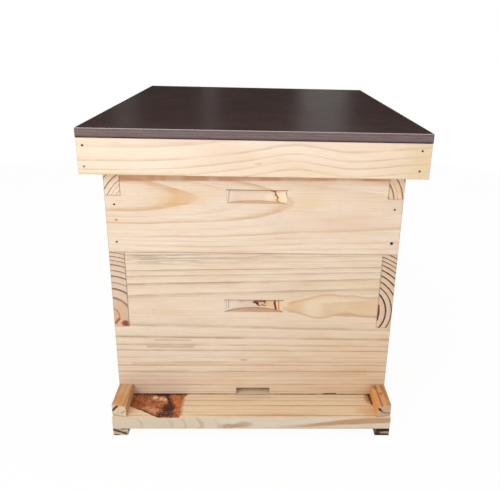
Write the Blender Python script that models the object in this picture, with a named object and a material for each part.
"""Two-storey pine bee hive with a telescoping roof.

One object per physical piece, metres, +Z up, the front faces -Y, left is -X.
The origin is the middle of the footprint at the ground.

Stack, from the ground: battens, deck boards with landing and cheeks, deep
brood box, medium super, roof.  Both boxes hold ten hanging frames.

Suffixes: _W width, _L length, _H height, _T thickness, _D depth, _R radius.
"""

import math
from collections import namedtuple

import bmesh
import bpy
from mathutils import Vector

MM = 0.001

# ---------------------------------------------------------------- dimensions
GAP = 0.3 * MM            # clearance left between pieces that touch
OVERCUT = 2.0 * MM        # cutters reach this far past the wood

BOARD = 22.0 * MM         # thickness of all box and rim boards
BOX_W = 419.0 * MM        # outside width of both boxes
BOX_L = 509.0 * MM        # outside length of both boxes, front to back
DEEP_H = 242.0 * MM       # brood box height
SUPER_H = 169.0 * MM      # super height
ARRIS = 0.4 * MM          # broken edge on sawn boards
WIDE_ARRIS = 0.6 * MM     # broken edge on the cheeks and the roof panel

# Floor
BATTEN_H = 12.0 * MM
BATTEN_W = 22.0 * MM
BATTEN_INSET_X = 0.1 * MM  # behind the deck's side edge
BATTEN_INSET_Y = 0.3 * MM  # short of the deck's front and back edges
DECK_T = 20.0 * MM
DECK_W = 417.4 * MM
DECK_BOARDS = 4
LANDING = 57.0 * MM       # deck in front of the brood box
CHEEK_H = 18.5 * MM
CHEEK_W = 21.8 * MM
CHEEK_INSET_X = 0.2 * MM  # behind the side face of the boxes
CHEEK_SETBACK = 1.0 * MM  # inner corner of the cheek behind the deck edge
CHEEK_SKEW = 5.0 * MM     # outer corner further back, the end is cut askew

# Boxes
ENTRANCE_W = 52.6 * MM
ENTRANCE_H = 11.8 * MM
RABBET_W = 10.0 * MM      # ledge that carries the frame lugs
FRAME_DROP = 5.0 * MM     # top bars below the box rim

# Hand-holds: low and high are above the box's lower edge, shift is sideways.
HOLD_R = 78.0 * MM        # radius of the round back wall
HOLD_STEPS = 24
DEEP_HOLD = dict(width=89.5 * MM, low=146.5 * MM, high=166.1 * MM,
                 shift=0.0)
SUPER_HOLD = dict(width=86.4 * MM, low=75.2 * MM, high=94.1 * MM,
                  shift=2.5 * MM)

# Roof
ROOF_GAP_X = 2.2 * MM     # play between rim and super, each side
ROOF_GAP_Y = 3.0 * MM     # the same at front and back
RIM_H = 48.7 * MM
PANEL_T = 12.7 * MM
PANEL_LIP = 0.5 * MM      # panel beyond the rim

# Frames
FRAMES = 10
FRAME_PITCH = 35.3 * MM
OPEN_FRAME = 5            # the frame that is built from separate pieces
DEEP_FRAME_H = 232.0 * MM
SUPER_FRAME_H = 159.0 * MM
TOP_BAR_L = 482.0 * MM
TOP_BAR_W = 27.0 * MM
TOP_BAR_T = 19.5 * MM
LUG_T = 10.0 * MM
NECK_W = 22.0 * MM        # top bar between the side bar's horns
SIDE_BAR_T = 9.5 * MM
SIDE_BAR_W = 35.0 * MM
SIDE_BAR_LOW_W = 29.0 * MM
SIDE_BAR_OUT = 447.0 * MM  # over the outsides of both side bars
SIDE_BAR_DROP = 3.0 * MM   # side bar top below the top bar's face
SHOULDER_SHARE = 0.60      # wide part starts at this share of the height
SHOULDER_H = 9.0 * MM      # height of the slope from narrow to wide
BOTTOM_BAR_W = 19.0 * MM
BOTTOM_BAR_T = 9.5 * MM
FOUNDATION_T = 1.6 * MM
FOUNDATION_END_GAP = 2.0 * MM  # to each side bar, open frame
FOUNDATION_TOP_GAP = 1.0 * MM  # to the groove's floor, open frame
GROOVE_W = 3.0 * MM
GROOVE_D = 4.0 * MM
GROOVE_END_GAP = 1.0 * MM      # between groove end and side bar

# Overlaps inside the one-piece frames
JOIN_OFFSET = 0.02 * MM        # keeps the outer faces of joined bars apart
JOIN_BAR_INSET = 0.5 * MM      # bottom bar end inside the side bar's face
JOIN_SHEET_INSET = 5.0 * MM    # foundation inside the frame, ends and bottom
JOIN_SHEET_TOP = 10.0 * MM     # foundation below the top bar's face

# Nails
NAIL_SIDES = 16
NAIL_HEAD_R = 1.25 * MM
LARGE_HEAD_R = 2.1 * MM
NAIL_HEAD_T = 1.0 * MM
HEAD_EDGE_R = 0.3 * MM    # bevel round the head, radially
HEAD_EDGE_D = 0.25 * MM   # bevel round the head, along the nail
NAIL_SHANK_R = 0.8 * MM
NAIL_L = 46.0 * MM        # from the wood's face to the tip
NAIL_POINT_L = 4.7 * MM
NAIL_TIP_R = 0.25 * MM
NAIL_SINK = 0.3 * MM      # head below the wood's face
NAIL_TIP_GAP = 1.0 * MM   # hole beyond the tip

# Each nail: name, x, z above the board's lower edge, head radius
SUPER_NAILS = (
    ("super_nail_left_upper", -196.6 * MM, 71.5 * MM, NAIL_HEAD_R),
    ("super_nail_left_middle", -195.2 * MM, 48.8 * MM, NAIL_HEAD_R),
    ("super_nail_left_lower", -197.0 * MM, 15.4 * MM, NAIL_HEAD_R),
    ("super_nail_right_upper", 198.0 * MM, 69.0 * MM, NAIL_HEAD_R),
    ("super_nail_right_lower", 198.4 * MM, 17.6 * MM, LARGE_HEAD_R),
)
ROOF_NAILS = (
    ("roof_nail_left_upper", -225.5 * MM, 38.8 * MM, NAIL_HEAD_R),
    ("roof_nail_left_lower", -225.5 * MM, 10.7 * MM, NAIL_HEAD_R),
    ("roof_nail_right_upper", 220.8 * MM, 38.7 * MM, NAIL_HEAD_R),
    ("roof_nail_right_lower", 219.8 * MM, 11.2 * MM, NAIL_HEAD_R),
)

# ---------------------------------------------------------------- stations
RABBET_D = FRAME_DROP + LUG_T + GAP
ROOF_OVER = ROOF_GAP_Y + BOARD + PANEL_LIP   # roof beyond the boxes
MID_Y = (LANDING - ROOF_OVER) / 2.0   # middle of the boxes, front to back
HALF_W = BOX_W / 2.0
FRONT_Y = MID_Y - BOX_L / 2.0         # front face of the boxes
BACK_Y = MID_Y + BOX_L / 2.0          # back face of the boxes
DECK_FRONT_Y = FRONT_Y - LANDING      # front edge of the landing

DECK_Z = BATTEN_H + GAP
DECK_TOP_Z = DECK_Z + DECK_T
DEEP_Z = DECK_TOP_Z + GAP
SUPER_Z = DEEP_Z + DEEP_H + GAP
RIM_TOP_Z = SUPER_Z + SUPER_H
RIM_Z = RIM_TOP_Z - RIM_H
PANEL_Z = RIM_TOP_Z + GAP

RIM_X = HALF_W + ROOF_GAP_X + BOARD          # outer face of the rim, sideways
RIM_FRONT_Y = FRONT_Y - ROOF_GAP_Y - BOARD   # outer face of the rim, front
RIM_BACK_Y = BACK_Y + ROOF_GAP_Y + BOARD     # outer face of the rim, back

# Faces of a frame's side bars, measured from MID_Y
SIDE_BAR_OUTER = SIDE_BAR_OUT / 2.0
SIDE_BAR_INNER = SIDE_BAR_OUTER - SIDE_BAR_T

SIDES = (("left", -1.0), ("right", 1.0))

# ---------------------------------------------------------------- finishes
PINE_RIM = dict(colour=(0.88, 0.72, 0.54, 1.0), roughness=0.6)
PINE_SUPER = dict(colour=(0.78, 0.60, 0.42, 1.0), roughness=0.62)
PINE_DEEP = dict(colour=(0.76, 0.61, 0.44, 1.0), roughness=0.62)
PINE_FLOOR = dict(colour=(0.68, 0.48, 0.28, 1.0), roughness=0.6)
PINE_CHEEK = dict(colour=(0.58, 0.33, 0.15, 1.0), roughness=0.6)
PINE_BATTEN = dict(colour=(0.45, 0.33, 0.24, 1.0), roughness=0.7)
PINE_FRAME = dict(colour=(0.74, 0.56, 0.36, 1.0), roughness=0.6)
WAX = dict(colour=(0.80, 0.55, 0.18, 1.0), roughness=0.5)
FILM = dict(colour=(0.045, 0.028, 0.024, 1.0), roughness=0.35)
STEEL = dict(colour=(0.16, 0.13, 0.12, 1.0), roughness=0.45, metallic=0.9)

# ---------------------------------------------------------------- the boxes
Box = namedtuple("Box", "prefix base_z height frame_height hold finish "
                        "entrance nails")
BROOD_BOX = Box("brood", DEEP_Z, DEEP_H, DEEP_FRAME_H, DEEP_HOLD, PINE_DEEP,
                entrance=True, nails=())
SUPER_BOX = Box("super", SUPER_Z, SUPER_H, SUPER_FRAME_H, SUPER_HOLD,
                PINE_SUPER, entrance=False, nails=SUPER_NAILS)


# ---------------------------------------------------------------- objects
CARRIER_PLACES = {}       # world location of each carrier


def clear_scene():
    for obj in list(bpy.data.objects):
        bpy.data.objects.remove(obj, do_unlink=True)
    for collection in (bpy.data.meshes, bpy.data.materials):
        for item in list(collection):
            if item.users == 0:
                collection.remove(item)


def finish_material(name, colour, roughness, metallic=0.0):
    material = bpy.data.materials.new("finish_" + name)
    material.use_nodes = True
    shader = material.node_tree.nodes["Principled BSDF"]
    shader.inputs["Base Color"].default_value = colour
    shader.inputs["Roughness"].default_value = roughness
    shader.inputs["Metallic"].default_value = metallic
    material.diffuse_color = colour
    return material


def add_carrier(name, location, parent=None):
    """Empty that carries an assembly, located in world coordinates."""
    carrier = bpy.data.objects.new(name, None)
    carrier.empty_display_size = 0.03
    bpy.context.collection.objects.link(carrier)
    place = Vector(location)
    CARRIER_PLACES[name] = place
    carrier.location = place
    if parent is not None:
        carrier.parent = parent
        carrier.location = place - CARRIER_PLACES[parent.name]
    return carrier


def add_piece(name, body, parent, finish, smooth=False):
    """Store a bmesh that is in world coordinates as an object of its own.

    The object's origin goes to the middle of the piece and the object is
    parented to the empty of the assembly it belongs to."""
    bmesh.ops.recalc_face_normals(body, faces=body.faces)
    low = Vector([min(v.co[i] for v in body.verts) for i in range(3)])
    high = Vector([max(v.co[i] for v in body.verts) for i in range(3)])
    centre = (low + high) / 2.0
    bmesh.ops.translate(body, verts=body.verts, vec=-centre)
    mesh = bpy.data.meshes.new(name)
    body.to_mesh(mesh)
    body.free()
    mesh.materials.append(finish_material(name, **finish))
    obj = bpy.data.objects.new(name, mesh)
    bpy.context.collection.objects.link(obj)
    obj.parent = parent
    obj.location = centre - CARRIER_PLACES[parent.name]
    if smooth:
        mesh.shade_smooth()
        mesh.set_sharp_from_angle(angle=math.radians(35.0))


# ---------------------------------------------------------------- shaping
def temporary_object(body):
    """An object that exists only while a boolean runs."""
    bmesh.ops.recalc_face_normals(body, faces=body.faces)
    mesh = bpy.data.meshes.new("tool")
    body.to_mesh(mesh)
    body.free()
    obj = bpy.data.objects.new("tool", mesh)
    obj.hide_render = True
    obj.display_type = 'WIRE'
    bpy.context.collection.objects.link(obj)
    return obj


def remove_with_mesh(obj):
    mesh = obj.data
    bpy.data.objects.remove(obj, do_unlink=True)
    bpy.data.meshes.remove(mesh)


def combine(body, tools, operation):
    """Boolean a list of bmeshes into or out of a body, one at a time."""
    base = temporary_object(body)
    for tool in tools:
        cutter = temporary_object(tool)
        modifier = base.modifiers.new("bool", 'BOOLEAN')
        modifier.object = cutter
        modifier.operation = operation
        modifier.solver = 'EXACT'
        depsgraph = bpy.context.evaluated_depsgraph_get()
        mesh = bpy.data.meshes.new_from_object(base.evaluated_get(depsgraph))
        base.modifiers.clear()
        old_mesh = base.data
        base.data = mesh
        bpy.data.meshes.remove(old_mesh)
        remove_with_mesh(cutter)
    result = bmesh.new()
    result.from_mesh(base.data)
    remove_with_mesh(base)
    bmesh.ops.remove_doubles(result, verts=result.verts, dist=1e-6)
    bmesh.ops.dissolve_limit(result, angle_limit=math.radians(0.5),
                             verts=result.verts, edges=result.edges)
    return result


def cut(body, tools):
    return combine(body, tools, 'DIFFERENCE')


def join(body, tools):
    return combine(body, tools, 'UNION')


def prism(points, lift):
    """Extrude a closed outline (3-D points in one plane) by a vector."""
    body = bmesh.new()
    face = body.faces.new([body.verts.new(point) for point in points])
    made = bmesh.ops.extrude_face_region(body, geom=[face])
    moved = [g for g in made["geom"] if isinstance(g, bmesh.types.BMVert)]
    bmesh.ops.translate(body, verts=moved, vec=Vector(lift))
    bmesh.ops.recalc_face_normals(body, faces=body.faces)
    return body


def block(corner, opposite):
    """Box between two opposite corners, in either order."""
    x0, y0, z0 = corner
    x1, y1, z1 = opposite
    return prism([(x0, y0, z0), (x1, y0, z0), (x1, y1, z0), (x0, y1, z0)],
                 (0.0, 0.0, z1 - z0))


def break_edges(body, width=ARRIS):
    """Take the sharp arris off every outside edge."""
    bmesh.ops.recalc_face_normals(body, faces=body.faces)
    edges = [e for e in body.edges
             if e.calc_face_angle_signed(0.0) > math.radians(30.0)]
    bmesh.ops.bevel(body, geom=edges, offset=width, offset_type='OFFSET',
                    segments=1, profile=0.5, affect='EDGES',
                    clamp_overlap=False)
    return body


def circle_points(x, y, z, radius):
    """Points of a circle that faces along Y."""
    angles = [2.0 * math.pi * i / NAIL_SIDES for i in range(NAIL_SIDES)]
    return [(x + radius * math.cos(angle), y, z + radius * math.sin(angle))
            for angle in angles]


# ---------------------------------------------------------------- hand-holds
def hold_cutter(place, base_z, width, low, high, shift):
    """Pocket with a flat floor and ceiling and a round back wall.

    place(along, depth, z) maps a point on a board to the world."""
    half = width / 2.0
    centre = math.sqrt(HOLD_R ** 2 - half ** 2)   # arc centre to the face
    outline = [(-half, -OVERCUT)]
    for i in range(HOLD_STEPS + 1):
        along = half * math.sin(math.pi * (i / HOLD_STEPS - 0.5))
        outline.append((along, math.sqrt(HOLD_R ** 2 - along ** 2) - centre))
    outline.append((half, -OVERCUT))
    return prism([place(shift + along, depth, base_z + low)
                  for along, depth in outline], (0.0, 0.0, high - low))


# Along runs to the right as seen facing the board from outside.
def on_front(along, depth, z):
    return (along, FRONT_Y + depth, z)


def on_back(along, depth, z):
    return (-along, BACK_Y - depth, z)


def on_left(along, depth, z):
    return (-HALF_W + depth, MID_Y - along, z)


def on_right(along, depth, z):
    return (HALF_W - depth, MID_Y + along, z)


# ---------------------------------------------------------------- nails
def nail_bore(x, z, face_y, radius, depth):
    """Round cutter that goes in at face_y along +Y."""
    return prism(circle_points(x, face_y - OVERCUT, z, radius + GAP),
                 (0.0, OVERCUT + depth, 0.0))


def head_bore(x, z, face_y, head_r):
    return nail_bore(x, z, face_y, head_r, NAIL_SINK + NAIL_HEAD_T + GAP)


def shank_bore(x, z, face_y):
    return nail_bore(x, z, face_y, NAIL_SHANK_R, NAIL_L + NAIL_TIP_GAP)


def front_board_bores(nails, base_z, face_y):
    """Head and shank clearances for the board the nails go in at."""
    bores = []
    for _, x, z, head_r in nails:
        bores.append(head_bore(x, base_z + z, face_y, head_r))
        bores.append(shank_bore(x, base_z + z, face_y))
    return bores


def side_board_bores(nails, base_z, face_y, side):
    """Shank clearances for the side board behind, side is -1 or 1."""
    return [shank_bore(x, base_z + z, face_y)
            for _, x, z, _ in nails if x * side > 0.0]


def add_nail(name, x, z, face_y, head_r, parent):
    head_y = face_y + NAIL_SINK
    length = NAIL_L - NAIL_SINK
    # radius, depth behind the head's face
    profile = [(head_r - HEAD_EDGE_R, 0.0),
               (head_r, HEAD_EDGE_D),
               (head_r, NAIL_HEAD_T),
               (NAIL_SHANK_R, NAIL_HEAD_T),
               (NAIL_SHANK_R, length - NAIL_POINT_L),
               (NAIL_TIP_R, length)]
    body = bmesh.new()
    rings = [[body.verts.new(point)
              for point in circle_points(x, head_y + depth, z, radius)]
             for radius, depth in profile]
    for ring, following in zip(rings, rings[1:]):
        for i in range(NAIL_SIDES):
            j = (i + 1) % NAIL_SIDES
            body.faces.new((ring[i], ring[j], following[j], following[i]))
    body.faces.new(rings[0])
    body.faces.new(rings[-1])
    add_piece(name, body, parent, STEEL, smooth=True)


def add_nails(nails, base_z, face_y, parent):
    for name, x, z, head_r in nails:
        add_nail(name, x, base_z + z, face_y, head_r, parent)


# ---------------------------------------------------------------- boxes
def add_end_board(box, where, parent):
    """Front or back board: full width below, between the sides above."""
    front = where == "front"
    low_z = box.base_z
    top_z = low_z + box.height
    notch_z = low_z + box.height / 2.0 - GAP / 2.0
    inner_x = HALF_W - BOARD - GAP
    outline = [(-HALF_W, low_z), (HALF_W, low_z), (HALF_W, notch_z),
               (inner_x, notch_z), (inner_x, top_z), (-inner_x, top_z),
               (-inner_x, notch_z), (-HALF_W, notch_z)]
    if front and box.entrance:
        half = ENTRANCE_W / 2.0
        outline[1:1] = [(-half, low_z), (-half, low_z + ENTRANCE_H),
                        (half, low_z + ENTRANCE_H), (half, low_z)]
    board_y = FRONT_Y if front else BACK_Y - BOARD
    body = break_edges(prism([(x, board_y, z) for x, z in outline],
                             (0.0, BOARD, 0.0)))

    # rabbet along the upper inner edge
    inner_y, inward = (FRONT_Y + BOARD, 1.0) if front else (board_y, -1.0)
    tools = [block((-HALF_W, inner_y - inward * RABBET_W, top_z - RABBET_D),
                   (HALF_W, inner_y + inward * OVERCUT, top_z + OVERCUT)),
             hold_cutter(on_front if front else on_back, low_z, **box.hold)]
    if front:
        tools += front_board_bores(box.nails, low_z, FRONT_Y)
    add_piece("%s_%s_board" % (box.prefix, where), cut(body, tools), parent,
              box.finish)


def add_side_board(box, where, side, parent):
    """Side board: between the ends below, full length above."""
    low_z = box.base_z
    top_z = low_z + box.height
    notch_z = low_z + box.height / 2.0 + GAP / 2.0
    inner_front = FRONT_Y + BOARD + GAP
    inner_back = BACK_Y - BOARD - GAP
    outline = [(inner_front, low_z), (inner_back, low_z),
               (inner_back, notch_z), (BACK_Y, notch_z), (BACK_Y, top_z),
               (FRONT_Y, top_z), (FRONT_Y, notch_z), (inner_front, notch_z)]
    board_x = -HALF_W if side < 0.0 else HALF_W - BOARD
    body = break_edges(prism([(board_x, y, z) for y, z in outline],
                             (BOARD, 0.0, 0.0)))
    tools = [hold_cutter(on_left if side < 0.0 else on_right, low_z,
                         **box.hold)]
    tools += side_board_bores(box.nails, low_z, FRONT_Y, side)
    add_piece("%s_%s_board" % (box.prefix, where), cut(body, tools), parent,
              box.finish)


def build_box(box, parent):
    """Four boards that interlock at half height, with their nails."""
    for where in ("front", "back"):
        add_end_board(box, where, parent)
    for where, side in SIDES:
        add_side_board(box, where, side, parent)
    add_nails(box.nails, box.base_z, FRONT_Y, parent)


# ---------------------------------------------------------------- frames
# A frame is placed by the x of its middle plane and the z of its underside.
def side_bar_outline(height, notched):
    """Side bar, wide above and narrow below, as x and z offsets.

    Notched bars are open for the top bar's neck and the bottom bar."""
    wide = SIDE_BAR_W / 2.0
    slim = SIDE_BAR_LOW_W / 2.0
    top = height - SIDE_BAR_DROP
    shoulder = height * SHOULDER_SHARE
    right = [(slim, 0.0), (slim, shoulder - SHOULDER_H), (wide, shoulder),
             (wide, top)]
    left = [(-x, z) for x, z in reversed(right)]
    if not notched:
        return right + left
    fork = NECK_W / 2.0 + GAP
    fork_z = height - TOP_BAR_T - GAP
    slot = BOTTOM_BAR_W / 2.0 + GAP
    slot_z = BOTTOM_BAR_T + GAP
    return (right + [(fork, top), (fork, fork_z), (-fork, fork_z), (-fork, top)]
            + left + [(-slot, 0.0), (-slot, slot_z), (slot, slot_z), (slot, 0.0)])


def side_bars(x, z, height, notched, outward=0.0):
    """Front and back side bar, each moved outward along Y."""
    outline = side_bar_outline(height, notched)
    return [prism([(x + across, bar_y, z + up) for across, up in outline],
                  (0.0, SIDE_BAR_T, 0.0))
            for bar_y in (MID_Y - SIDE_BAR_OUTER - outward,
                          MID_Y + SIDE_BAR_INNER + outward)]


def top_bar(x, top_z):
    """Top bar with a thin lug at each end."""
    end = TOP_BAR_L / 2.0
    lug_z = top_z - LUG_T
    low_z = top_z - TOP_BAR_T
    outline = [(-end, top_z), (-end, lug_z), (-SIDE_BAR_OUTER, lug_z),
               (-SIDE_BAR_OUTER, low_z), (SIDE_BAR_OUTER, low_z),
               (SIDE_BAR_OUTER, lug_z), (end, lug_z), (end, top_z)]
    return prism([(x - TOP_BAR_W / 2.0, MID_Y + y, z) for y, z in outline],
                 (TOP_BAR_W, 0.0, 0.0))


def top_bar_cutters(x, top_z):
    """Necks for the side bars' horns and a groove for the foundation."""
    low_z = top_z - TOP_BAR_T
    cutters = []
    for end in (-1.0, 1.0):
        for side in (-1.0, 1.0):
            cutters.append(block(
                (x + side * NECK_W / 2.0,
                 MID_Y + end * (SIDE_BAR_INNER - GAP),
                 low_z - OVERCUT),
                (x + side * (TOP_BAR_W / 2.0 + OVERCUT),
                 MID_Y + end * (SIDE_BAR_OUTER + GAP),
                 top_z + OVERCUT)))
    run = SIDE_BAR_INNER - GROOVE_END_GAP
    cutters.append(block((x - GROOVE_W / 2.0, MID_Y - run, low_z - OVERCUT),
                         (x + GROOVE_W / 2.0, MID_Y + run, low_z + GROOVE_D)))
    return cutters


def lengthwise_bar(x, width, half_length, low_z, high_z):
    """Block centred on x and on the middle of the boxes."""
    return block((x - width / 2.0, MID_Y - half_length, low_z),
                 (x + width / 2.0, MID_Y + half_length, high_z))


def add_open_frame(name, x, z, height, parent):
    """A frame taken apart: bars and foundation as separate objects."""
    top_z = z + height
    add_piece(name + "_top_bar",
              cut(top_bar(x, top_z), top_bar_cutters(x, top_z)),
              parent, PINE_FRAME)
    bars = side_bars(x, z, height, notched=True)
    for where, body in zip(("front", "back"), bars):
        add_piece("%s_%s_side_bar" % (name, where), body, parent, PINE_FRAME)
    add_piece(name + "_bottom_bar",
              lengthwise_bar(x, BOTTOM_BAR_W, SIDE_BAR_OUTER,
                             z, z + BOTTOM_BAR_T),
              parent, PINE_FRAME)
    add_piece(name + "_foundation",
              lengthwise_bar(x, FOUNDATION_T,
                             SIDE_BAR_INNER - FOUNDATION_END_GAP,
                             z + BOTTOM_BAR_T + GAP,
                             top_z - TOP_BAR_T + GROOVE_D - FOUNDATION_TOP_GAP),
              parent, WAX)


def add_solid_frame(name, x, z, height, parent):
    """A frame with its foundation, as one piece."""
    tools = side_bars(x, z, height, notched=False, outward=JOIN_OFFSET)
    tools.append(lengthwise_bar(x, BOTTOM_BAR_W,
                                SIDE_BAR_OUTER - JOIN_BAR_INSET,
                                z - JOIN_OFFSET, z + BOTTOM_BAR_T))
    tools.append(lengthwise_bar(x, FOUNDATION_T,
                                SIDE_BAR_OUTER - JOIN_SHEET_INSET,
                                z + JOIN_SHEET_INSET,
                                z + height - JOIN_SHEET_TOP))
    add_piece(name, join(top_bar(x, z + height), tools), parent, PINE_FRAME)


def build_frames(box, parent):
    """Hang the frames in a box, numbered from the left."""
    top_z = box.base_z + box.height - FRAME_DROP
    z = top_z - box.frame_height
    for i in range(FRAMES):
        x = (i - (FRAMES - 1) / 2.0) * FRAME_PITCH
        name = "%s_frame_%02d" % (box.prefix, i + 1)
        carrier = add_carrier(name + "_hang", (x, MID_Y, top_z - LUG_T), parent)
        add_frame = add_open_frame if i + 1 == OPEN_FRAME else add_solid_frame
        add_frame(name, x, z, box.frame_height, carrier)


# ---------------------------------------------------------------- floor
def add_deck(parent):
    """Deck boards side by side, the front one is the landing board."""
    depth = (BACK_Y - DECK_FRONT_Y - (DECK_BOARDS - 1) * GAP) / DECK_BOARDS
    for i in range(DECK_BOARDS):
        y = DECK_FRONT_Y + i * (depth + GAP)
        name = "floor_deck_board_%d" % (i + 1) if i else "floor_landing_board"
        body = block((-DECK_W / 2.0, y, DECK_Z),
                     (DECK_W / 2.0, y + depth, DECK_TOP_Z))
        add_piece(name, break_edges(body), parent, PINE_FLOOR)


def add_batten(where, side, parent):
    outer_x = side * (DECK_W / 2.0 - BATTEN_INSET_X)
    body = block((outer_x, DECK_FRONT_Y + BATTEN_INSET_Y, 0.0),
                 (outer_x - side * BATTEN_W, BACK_Y - BATTEN_INSET_Y, BATTEN_H))
    add_piece("floor_batten_" + where, break_edges(body), parent, PINE_BATTEN)


def add_cheek(where, side, parent):
    """Strip on the landing, in front of the brood box's side."""
    outer_x = side * (HALF_W - CHEEK_INSET_X)
    inner_x = outer_x - side * CHEEK_W
    front_y = DECK_FRONT_Y + CHEEK_SETBACK
    back_y = FRONT_Y - GAP
    z = DECK_TOP_Z + GAP
    body = prism([(inner_x, front_y, z), (outer_x, front_y + CHEEK_SKEW, z),
                  (outer_x, back_y, z), (inner_x, back_y, z)],
                 (0.0, 0.0, CHEEK_H))
    add_piece("floor_cheek_" + where, break_edges(body, WIDE_ARRIS), parent,
              PINE_CHEEK)


def build_floor(parent):
    add_deck(parent)
    for where, side in SIDES:
        add_batten(where, side, parent)
        add_cheek(where, side, parent)


# ---------------------------------------------------------------- roof
def rim_end(low_y):
    """Rim board across the full width."""
    return break_edges(block((-RIM_X, low_y, RIM_Z),
                             (RIM_X, low_y + BOARD, RIM_TOP_Z)))


def add_rim_side(where, side, parent):
    """Rim board between the front and back ones."""
    body = break_edges(block(
        (side * RIM_X, RIM_FRONT_Y + BOARD + GAP, RIM_Z),
        (side * (RIM_X - BOARD), RIM_BACK_Y - BOARD - GAP, RIM_TOP_Z)))
    bores = side_board_bores(ROOF_NAILS, RIM_Z, RIM_FRONT_Y, side)
    add_piece("roof_rim_" + where, cut(body, bores), parent, PINE_RIM)


def add_panel(parent):
    body = block(
        (-RIM_X - PANEL_LIP, RIM_FRONT_Y - PANEL_LIP, PANEL_Z),
        (RIM_X + PANEL_LIP, RIM_BACK_Y + PANEL_LIP, PANEL_Z + PANEL_T))
    add_piece("roof_panel", break_edges(body, WIDE_ARRIS), parent, FILM)


def build_roof(parent):
    bores = front_board_bores(ROOF_NAILS, RIM_Z, RIM_FRONT_Y)
    add_piece("roof_rim_front", cut(rim_end(RIM_FRONT_Y), bores), parent,
              PINE_RIM)
    add_piece("roof_rim_back", rim_end(RIM_BACK_Y - BOARD), parent, PINE_RIM)
    for where, side in SIDES:
        add_rim_side(where, side, parent)
    add_panel(parent)
    add_nails(ROOF_NAILS, RIM_Z, RIM_FRONT_Y, parent)


# ---------------------------------------------------------------- assembly
def build():
    """Build the hive, each storey's carrier hangs on the one below."""
    clear_scene()
    floor = add_carrier("floor_base", (0.0, MID_Y, 0.0))
    brood = add_carrier("brood_box_base", (0.0, MID_Y, DEEP_Z), floor)
    upper = add_carrier("super_base", (0.0, MID_Y, SUPER_Z), brood)
    roof = add_carrier("roof_base", (0.0, MID_Y, RIM_Z), upper)

    build_floor(floor)
    for box, parent in ((BROOD_BOX, brood), (SUPER_BOX, upper)):
        build_box(box, parent)
        build_frames(box, parent)
    build_roof(roof)
    bpy.context.view_layer.update()


build()
